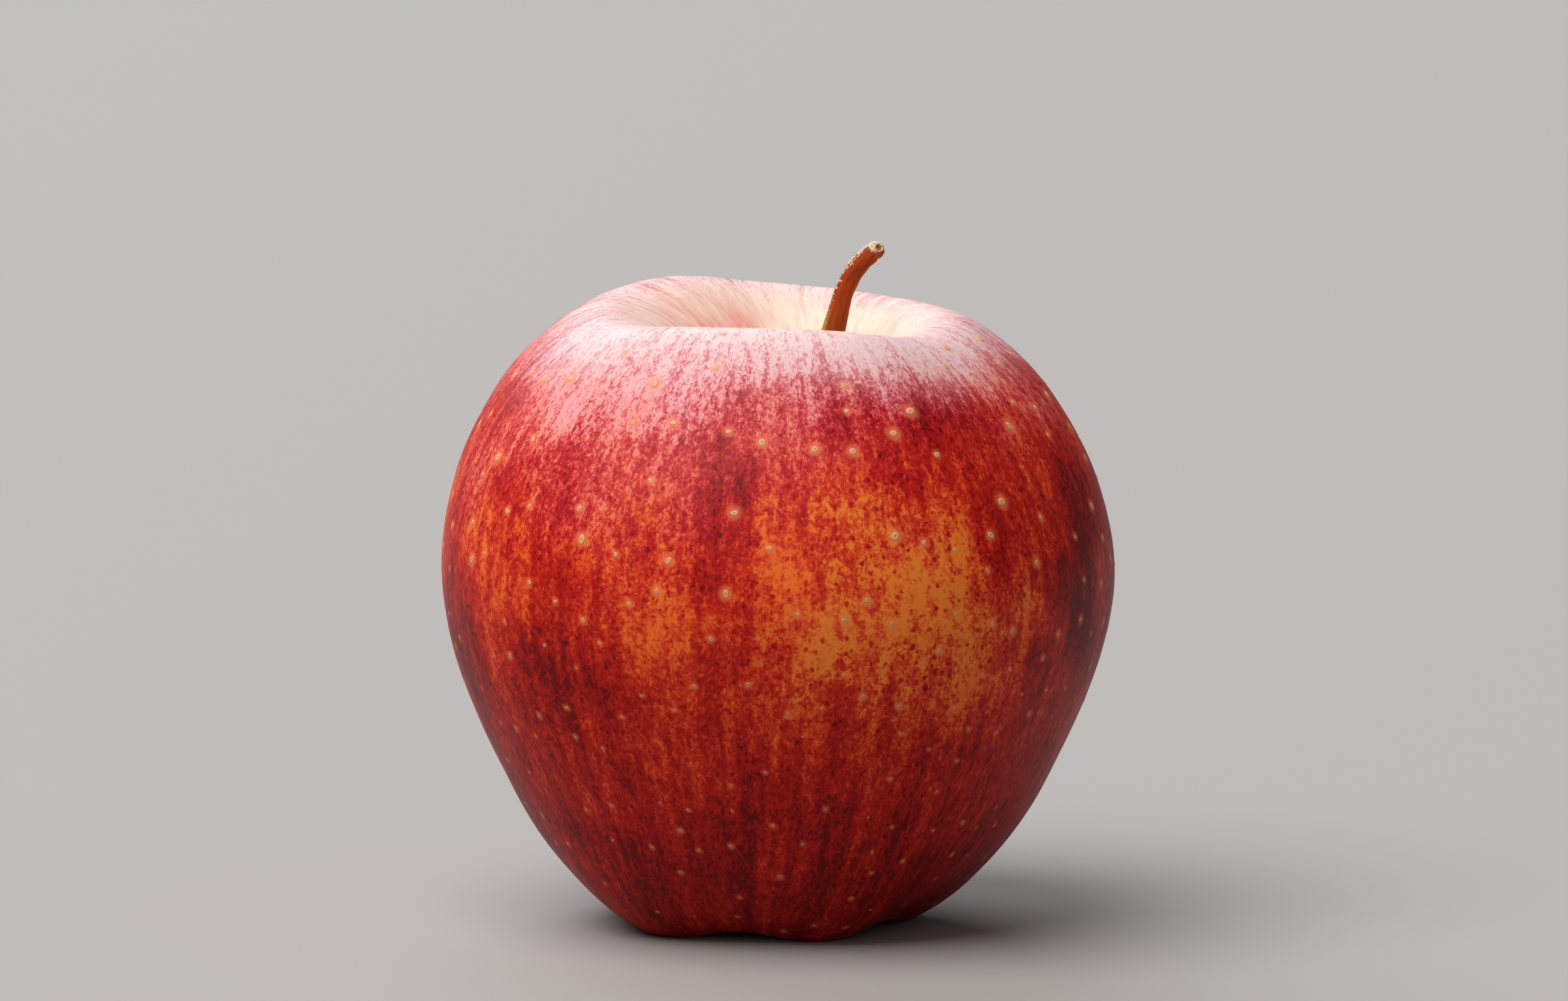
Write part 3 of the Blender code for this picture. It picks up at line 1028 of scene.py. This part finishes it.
def scar_tree():
    tree, given, end = geometry_tree("grow_scar", SCAR)
    outline = smooth_outline(tree, given["Geometry"])
    counts = (given["Points around"], given["Points down"])
    mesh, angle, radius, height, length = swept(tree, outline, *counts)
    mesh = store(tree, mesh, "from_middle", length / MM)
    x = radius * angle.cos()
    y = radius * angle.sin()
    fibres = join(x * TEARS_ACROSS, y * TEARS_ACROSS, height * TEARS_ALONG)
    torn = noise(fibres, 4.0, 0.65) - 0.5
    split = noise(join(angle.cos() * RIM_SPLITS, angle.sin() * RIM_SPLITS, 5.0), 2.0) - 0.5
    reach = given["Tear"] * radius.step(*TORN_RADII) * height.step(*TORN_HEIGHTS)
    ragged = height + (torn * 3.0 + split * 2.0) * reach
    swell = 1.0 + torn * 0.14
    scar = shaped(tree, mesh, join(x * swell, y * swell, ragged))
    settings = {"Vector": tuple(tip_direction)}
    turn = add_node(tree, "FunctionNodeAlignRotationToVector", settings, axis="Z").outputs[0]
    settings = {"Geometry": scar, "Translation": tuple(tip), "Rotation": turn}
    scar = add_node(tree, "GeometryNodeTransform", settings).outputs[0]
    return finish_tree(tree, end, scar, "torn_wood")


scar_points = [(radius * MM, 0.0, height * MM) for radius, height in SCAR_OUTLINE]
scar = run_tree(chain_piece("stem_scar", scar_points), scar_tree(), SCAR)

# %% Flakes of cork along the stem's upper side
FLAKES = {"Per square metre": 1.2e8, "Raggedness": 0.12 * MM, "Seed": 11}
# The least and most of a flake's half sizes, in millimetres.
FLAKE_SIZES = ((0.05, 0.035, 0.015), (0.20, 0.12, 0.04))
FLAKE_TILT = 0.5
FLAKE_WOBBLES = 9000.0
UPPER_SIDE = (-0.78, 0.1, 0.62)
PATCH_LENGTH = 1.2 * MM
# How far along the stem the flakes grow dense, and where they stop lying in patches.
DENSER_ALONG = (7 * MM, 22 * MM)
ALL_FLAKY = (18.5 * MM, 20.5 * MM)


def flake_tree():
    tree, given, end = geometry_tree("lay_flakes", FLAKES)
    facing = outward_in(tree).vector("DOT_PRODUCT", UPPER_SIDE, output="Value")
    along = named(tree, "along")
    patchy = noise(join(along / PATCH_LENGTH, 0.0, 0.0), 2.0).step(0.40, 0.62)
    share = facing.step(0.55, 0.95) * patchy.at_least(along.step(*ALL_FLAKY))
    density = given["Per square metre"] * share * along.step(*DENSER_ALONG).power(3.0)
    settings = {"Mesh": given["Geometry"], "Density": density, "Seed": given["Seed"]}
    kind = "GeometryNodeDistributePointsOnFaces"
    scattered = add_node(tree, kind, settings, distribute_method="RANDOM")
    points = store(tree, scattered.outputs["Points"], "shade", random_number(tree, 0.0, 1.0, 8))
    settings = {"Radius": 1.0, "Subdivisions": 2}
    chip = add_node(tree, "GeometryNodeMeshIcoSphere", settings).outputs[0]
    lean = (-FLAKE_TILT, -FLAKE_TILT, 0.0), (FLAKE_TILT, FLAKE_TILT, math.tau)
    turn = spun(tree, scattered.outputs["Rotation"], *lean, 2)
    size = random_vector(tree, *FLAKE_SIZES, 4).scaled(MM)
    chips = copies(tree, points, chip, turn, size)
    ragged = drift(place_in(tree).scaled(FLAKE_WOBBLES), 2.0).scaled(given["Raggedness"])
    return finish_tree(tree, end, push(tree, chips, ragged), "dry_cork", smooth=False)


flakes = run_tree(new_piece("stem_flakes", stem.data.copy()), flake_tree(), FLAKES)

# %% Materials of the stem, the scar and the flakes
BARK = (0.36, 0.046, 0.003)
BARK_DARK = (0.20, 0.020, 0.002)
BARK_WORN = (0.56, 0.110, 0.010)
FOOT_BROWN = (0.21, 0.050, 0.004)
YOUNG_GREEN = (0.50, 0.34, 0.04)
TORN_WOOD = (0.78, 0.60, 0.36)
HOLLOW = (0.60, 0.20, 0.04)
CORK_PALE = (0.74, 0.60, 0.44)
CORK_BROWN = (0.30, 0.13, 0.06)


def bark_material():
    tree = material_tree("stem_bark")
    x, y, _ = attribute(tree, "turned", "Vector").split()
    along = attribute(tree, "along") / MM
    _, _, height = solid_place(tree).split()
    place = join(x * 1.4, y * 1.4, along)
    fibres = strokes(place, 0.16, 2.4, 3.0)
    patches = strokes(place, 0.7, 2.6, 3.0, 9.0)
    specks = cells(place, 0.14, 0.20, 0.06, 4.0)
    colour = mix_colours((patches * 1.4 + 0.35).step(0.0, 1.0), BARK, BARK_DARK)
    worn = (fibres * 1.3 + specks * 0.25).step(0.35, 0.95)
    colour = mix_colours(worn * 0.7, colour, BARK_WORN)
    foot = height.step(68.0, 63.5)
    colour = mix_colours(foot * 0.75, colour, FOOT_BROWN)
    rightward, _, _ = attribute(tree, "facing", "Vector").split()
    green = foot * (rightward + patches * 0.2).step(-0.50, -1.0)
    colour = mix_colours(green * 0.7, colour, YOUNG_GREEN)
    colour = mix_colours((rightward + patches * 0.3).step(0.6, 1.0) * 0.5, colour, BARK_WORN)
    colour = mix_colours((fibres + specks * 0.3).step(-0.2, -0.7) * 0.6, colour, BARK_DARK)
    paint("stem_bark", {
        "Base Color": colour,
        "Roughness": 0.52 + specks * 0.08,
        "Normal": bump(fibres * 0.7 + specks * 0.15, 0.06 * MM, 0.8),
        "Specular IOR Level": 0.1,
    })


def scar_material():
    tree = material_tree("torn_wood")
    from_middle = attribute(tree, "from_middle")
    solid = solid_place(tree)
    fibres = swing(solid.scaled(7.0), 3.0, 0.6)
    spots = swing(solid.scaled(2.3), 2.0)
    across, _, height = solid.split()
    # The pale crust of torn wood reaches further down on the scar's upper, inner side, towards the main
    # lamp: there it is partly a painted highlight.
    crust_and_highlight_edge = from_middle + spots * 0.7 + fibres * 0.5
    crust_and_highlight_edge = crust_and_highlight_edge - (height - 72.8) * 0.75 + (across - 10.45) * 0.45
    crust = mix_colours((fibres + spots * 0.6).step(0.0, 0.4) * 0.6, CORK_PALE, TORN_WOOD)
    crust = mix_colours((fibres * 0.7 - spots).step(0.0, 0.5) * 0.75, crust, BARK_WORN)
    bark = mix_colours(fibres.step(0.0, 0.8) * 0.6, BARK, BARK_WORN)
    colour = mix_colours(crust_and_highlight_edge.step(1.05, 0.85), bark, crust)
    colour = mix_colours((from_middle + fibres * 0.2).step(0.62, 0.40), colour, HOLLOW)
    colour = mix_colours(fibres.step(0.30, 0.70) * 0.6, colour, BARK_DARK)
    paint("torn_wood", {
        "Base Color": colour,
        "Roughness": 0.7 + fibres * 0.1,
        "Normal": bump(fibres, 0.08 * MM, 0.8),
    })


def cork_material():
    tree = material_tree("dry_cork")
    crumbs = swing(solid_place(tree).scaled(11.0), 2.0)
    browner = (attribute(tree, "shade") + crumbs * 0.4).step(0.45, 1.0)
    paint("dry_cork", {
        "Base Color": mix_colours(browner, CORK_PALE, CORK_BROWN),
        "Roughness": 0.75 + crumbs * 0.1,
        "Normal": bump(crumbs, 0.04 * MM, 0.7),
    })


bark_material()
scar_material()
cork_material()

# %% [markdown]
# ## The dried flower underneath
# In the pit under the fruit the rest of the flower stays: five small dry leaves that curl, and the
# withered threads that once bore pollen. The leaves could be flat cut-outs, but dry leaves have
# thickness and twist, so each is a flattened tube that bends along its length. One leaf is laid out
# five times around the pit, and noise then crumples each one differently.

# %% The five dry leaves
LEAF = {
    "Points around": 36,
    "Points along": 56,
    "Length": 6.8 * MM,
    "Width": 3.1 * MM,
    "Thickness": 0.26 * MM,
    "Crumple": 0.34 * MM,
}
LEAF_ROOT_RADIUS = 3.5 * MM
LEAF_ROOT_HEIGHT = 8.8 * MM
LEAF_LEAN = math.radians(24)
LEAF_CURL = math.radians(250)
LEAF_INWARD = 0.35 * MM
LEAF_CUP = 0.45 * MM
LEAF_TIP_WIDTH = 0.20 * MM
# How many crumples there are to a metre, and how much deeper the coarse ones are.
COARSE_CRUMPLES = 420.0
FINE_CRUMPLES = 1700.0
COARSE_DEPTH = 4.0


def leaf_tree():
    """One leaf leans in and curls back out as it drops; five of them stand around the pit."""
    tree, given, end = geometry_tree("grow_leaf", LEAF)
    settings = {"Vertices X": given["Points around"], "Vertices Y": given["Points along"]}
    grid = add_node(tree, "GeometryNodeMeshGrid", settings)
    turn, along, _ = Field(tree, grid.outputs["UV Map"]).split()
    angle = turn * -math.tau
    across = angle.cos()
    narrowing = (1.0 - along).power(0.8) * along.step(-0.25, 0.08)
    half_width = given["Width"] / 2 * narrowing + LEAF_TIP_WIDTH / 2
    closing = along.step(0.0, 0.03) * along.step(1.0, 0.96)
    lean = (along * LEAF_CURL).cos() * LEAF_LEAN
    root = join(LEAF_ROOT_RADIUS - LEAF_INWARD * along, 0.0, LEAF_ROOT_HEIGHT)
    drop = join(lean.sin() * -1.0, 0.0, lean.cos() * -1.0).scaled(given["Length"] * along)
    cupped = across * across * (1.0 - along) * LEAF_CUP
    thick = angle.sin() * given["Thickness"] / 2 * closing
    sheet = join(cupped + thick, across * half_width * closing, thick * 0.3)
    leaf = store(tree, grid.outputs["Mesh"], "leaf_map", join(across, along, angle.sin()), "FLOAT_VECTOR")
    leaf = shaped(tree, leaf, root.vector("ADD", drop).vector("ADD", sheet))
    settings = {"Vertices": LOBES, "Radius": 0.0}
    middle = add_node(tree, "GeometryNodeMeshCircle", settings).outputs[0]
    index = Field(tree, add_node(tree, "GeometryNodeInputIndex").outputs[0])
    around = join(0.0, 0.0, (index + 0.5) * (math.tau / LOBES) + LOBE_ANGLE)
    leaves = copies(tree, middle, leaf, around)
    _, along_leaf, _ = named(tree, "leaf_map", "FLOAT_VECTOR").split()
    place = place_in(tree)
    coarse = drift(place.scaled(COARSE_CRUMPLES), 1.0).scaled(COARSE_DEPTH)
    fine = drift(place.scaled(FINE_CRUMPLES), 2.0)
    crumple = coarse.vector("ADD", fine).scaled(given["Crumple"] * along_leaf.step(0.0, 0.5))
    return finish_tree(tree, end, push(tree, leaves, crumple), "dry_leaf")


sepals = run_tree(chain_piece("dry_sepals", [(0.0, 0.0, 0.0)]), leaf_tree(), LEAF)

# %% The withered threads
THREADS = {"Count": 19, "Points along": 20, "Sides": 8, "Ring": 0.42 * MM, "Seed": 5}
# Points of one thread, from its root down to its bead: x, y, height and radius in millimetres.
THREAD_LINE = [
    (0.0, 0.0, 0.0, 0.10), (0.10, 0.03, -1.5, 0.08), (0.04, 0.10, -3.0, 0.07),
    (0.22, 0.0, -4.3, 0.055), (0.34, -0.08, -5.0, 0.05),
]
THREAD_ROOTS = Vector((0.0, 0.0, 10.9 * MM))
BEAD_SIZE = Vector((0.15, 0.13, 0.30)) * MM
BEAD_PLACE = Vector(THREAD_LINE[-1][:3]) * MM
# The least and most that a thread is turned, and the least and most of its size.
THREAD_TURNS = ((-0.05, -0.12, -0.6), (0.05, 0.06, 0.6))
THREAD_SIZES = (0.72, 1.0)


def thread_tree():
    tree, given, end = geometry_tree("grow_threads", THREADS)
    thread = tube(tree, smooth_line(tree, given["Geometry"], given["Points along"]), given["Sides"])
    thread = store(tree, thread, "is_tip", 0.0)
    settings = {"Radius": 1.0, "Subdivisions": 2}
    bead = add_node(tree, "GeometryNodeMeshIcoSphere", settings).outputs[0]
    bead = store(tree, bead, "is_tip", 1.0)
    settings = {"Geometry": bead, "Scale": tuple(BEAD_SIZE), "Translation": tuple(BEAD_PLACE)}
    bead = add_node(tree, "GeometryNodeTransform", settings).outputs[0]
    one = tree.nodes.new("GeometryNodeJoinGeometry")
    tree.links.new(bead, one.inputs[0])
    tree.links.new(thread, one.inputs[0])
    settings = {"Vertices": given["Count"], "Radius": given["Ring"]}
    ring = add_node(tree, "GeometryNodeMeshCircle", settings).outputs[0]
    settings = {"Geometry": ring, "Translation": tuple(THREAD_ROOTS)}
    ring = add_node(tree, "GeometryNodeTransform", settings).outputs[0]
    index = Field(tree, add_node(tree, "GeometryNodeInputIndex").outputs[0])
    chance = random_vector(tree, *THREAD_TURNS, given["Seed"])
    turn = join(0.0, 0.0, index * math.tau / given["Count"]).vector("ADD", chance)
    threads = copies(tree, ring, one.outputs[0], turn, random_number(tree, *THREAD_SIZES, 9))
    return finish_tree(tree, end, threads, "dry_thread")


thread_points = [(x * MM, y * MM, z * MM) for x, y, z, _ in THREAD_LINE]
thread_sizes = [size * MM for _, _, _, size in THREAD_LINE]
stamens = run_tree(chain_piece("dry_stamens", thread_points, thread_sizes), thread_tree(), THREADS)

# %% Materials of the dried flower
LEAF_BROWN = (0.20, 0.085, 0.032)
LEAF_GREY = (0.42, 0.30, 0.18)
LEAF_GREEN = (0.24, 0.22, 0.07)
THREAD_BROWN = (0.11, 0.045, 0.020)
THREAD_TAN = (0.40, 0.24, 0.10)


def leaf_material():
    tree = material_tree("dry_leaf")
    across, along, side = attribute(tree, "leaf_map", "Vector").split()
    solid = solid_place(tree)
    down = swing(solid.scaled(6.0), 3.0, 0.6)
    stains = swing(solid.scaled(1.1), 2.0)
    veins = noise(join(across * 9.0, along * 2.0, side), 2.0)
    colour = mix_colours((along + stains * 0.5).step(0.7, 0.0), LEAF_BROWN, LEAF_GREEN)
    colour = mix_colours((down + stains * 0.3).step(-0.1, 0.5) * 0.7, colour, LEAF_GREY)
    colour = mix_colours(veins.step(0.55, 0.68) * 0.5, colour, LEAF_BROWN)
    paint("dry_leaf", {
        "Base Color": colour,
        "Roughness": 0.8 + down * 0.08,
        "Normal": bump(down + veins, 0.08 * MM, 0.8),
        "Specular IOR Level": 0.2,
    })


def thread_material():
    tree = material_tree("dry_thread")
    dust = swing(solid_place(tree).scaled(9.0), 2.0)
    paler = (attribute(tree, "is_tip") * 0.8 + dust * 0.6).step(0.0, 0.9)
    paint("dry_thread", {
        "Base Color": mix_colours(paler, THREAD_BROWN, THREAD_TAN),
        "Roughness": 0.8 + dust * 0.08,
        "Normal": bump(dust, 0.04 * MM, 0.7),
        "Specular IOR Level": 0.2,
    })


leaf_material()
thread_material()

# %% [markdown]
# ## Tying the pieces to the frame
# Each piece moves with the frame's one body, and the first of each kind takes the place of its CAD solid.

# %% Ride and replace
PIECES = [
    (fruit, "fruit_skin", ["fruit"]),
    (pores, "fruit_skin", []),
    (stem, "stem_bark", ["stem"]),
    (scar, "stem_bark", []),
    (flakes, "stem_bark", []),
    (sepals, "dried_sepal", ["sepal_1", "sepal_2", "sepal_3", "sepal_4", "sepal_5"]),
    (stamens, "dried_stamens", ["stamen_tuft"]),
]
for piece, slot, solids in PIECES:
    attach(piece, "root")
    for solid in solids:
        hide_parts(solid)
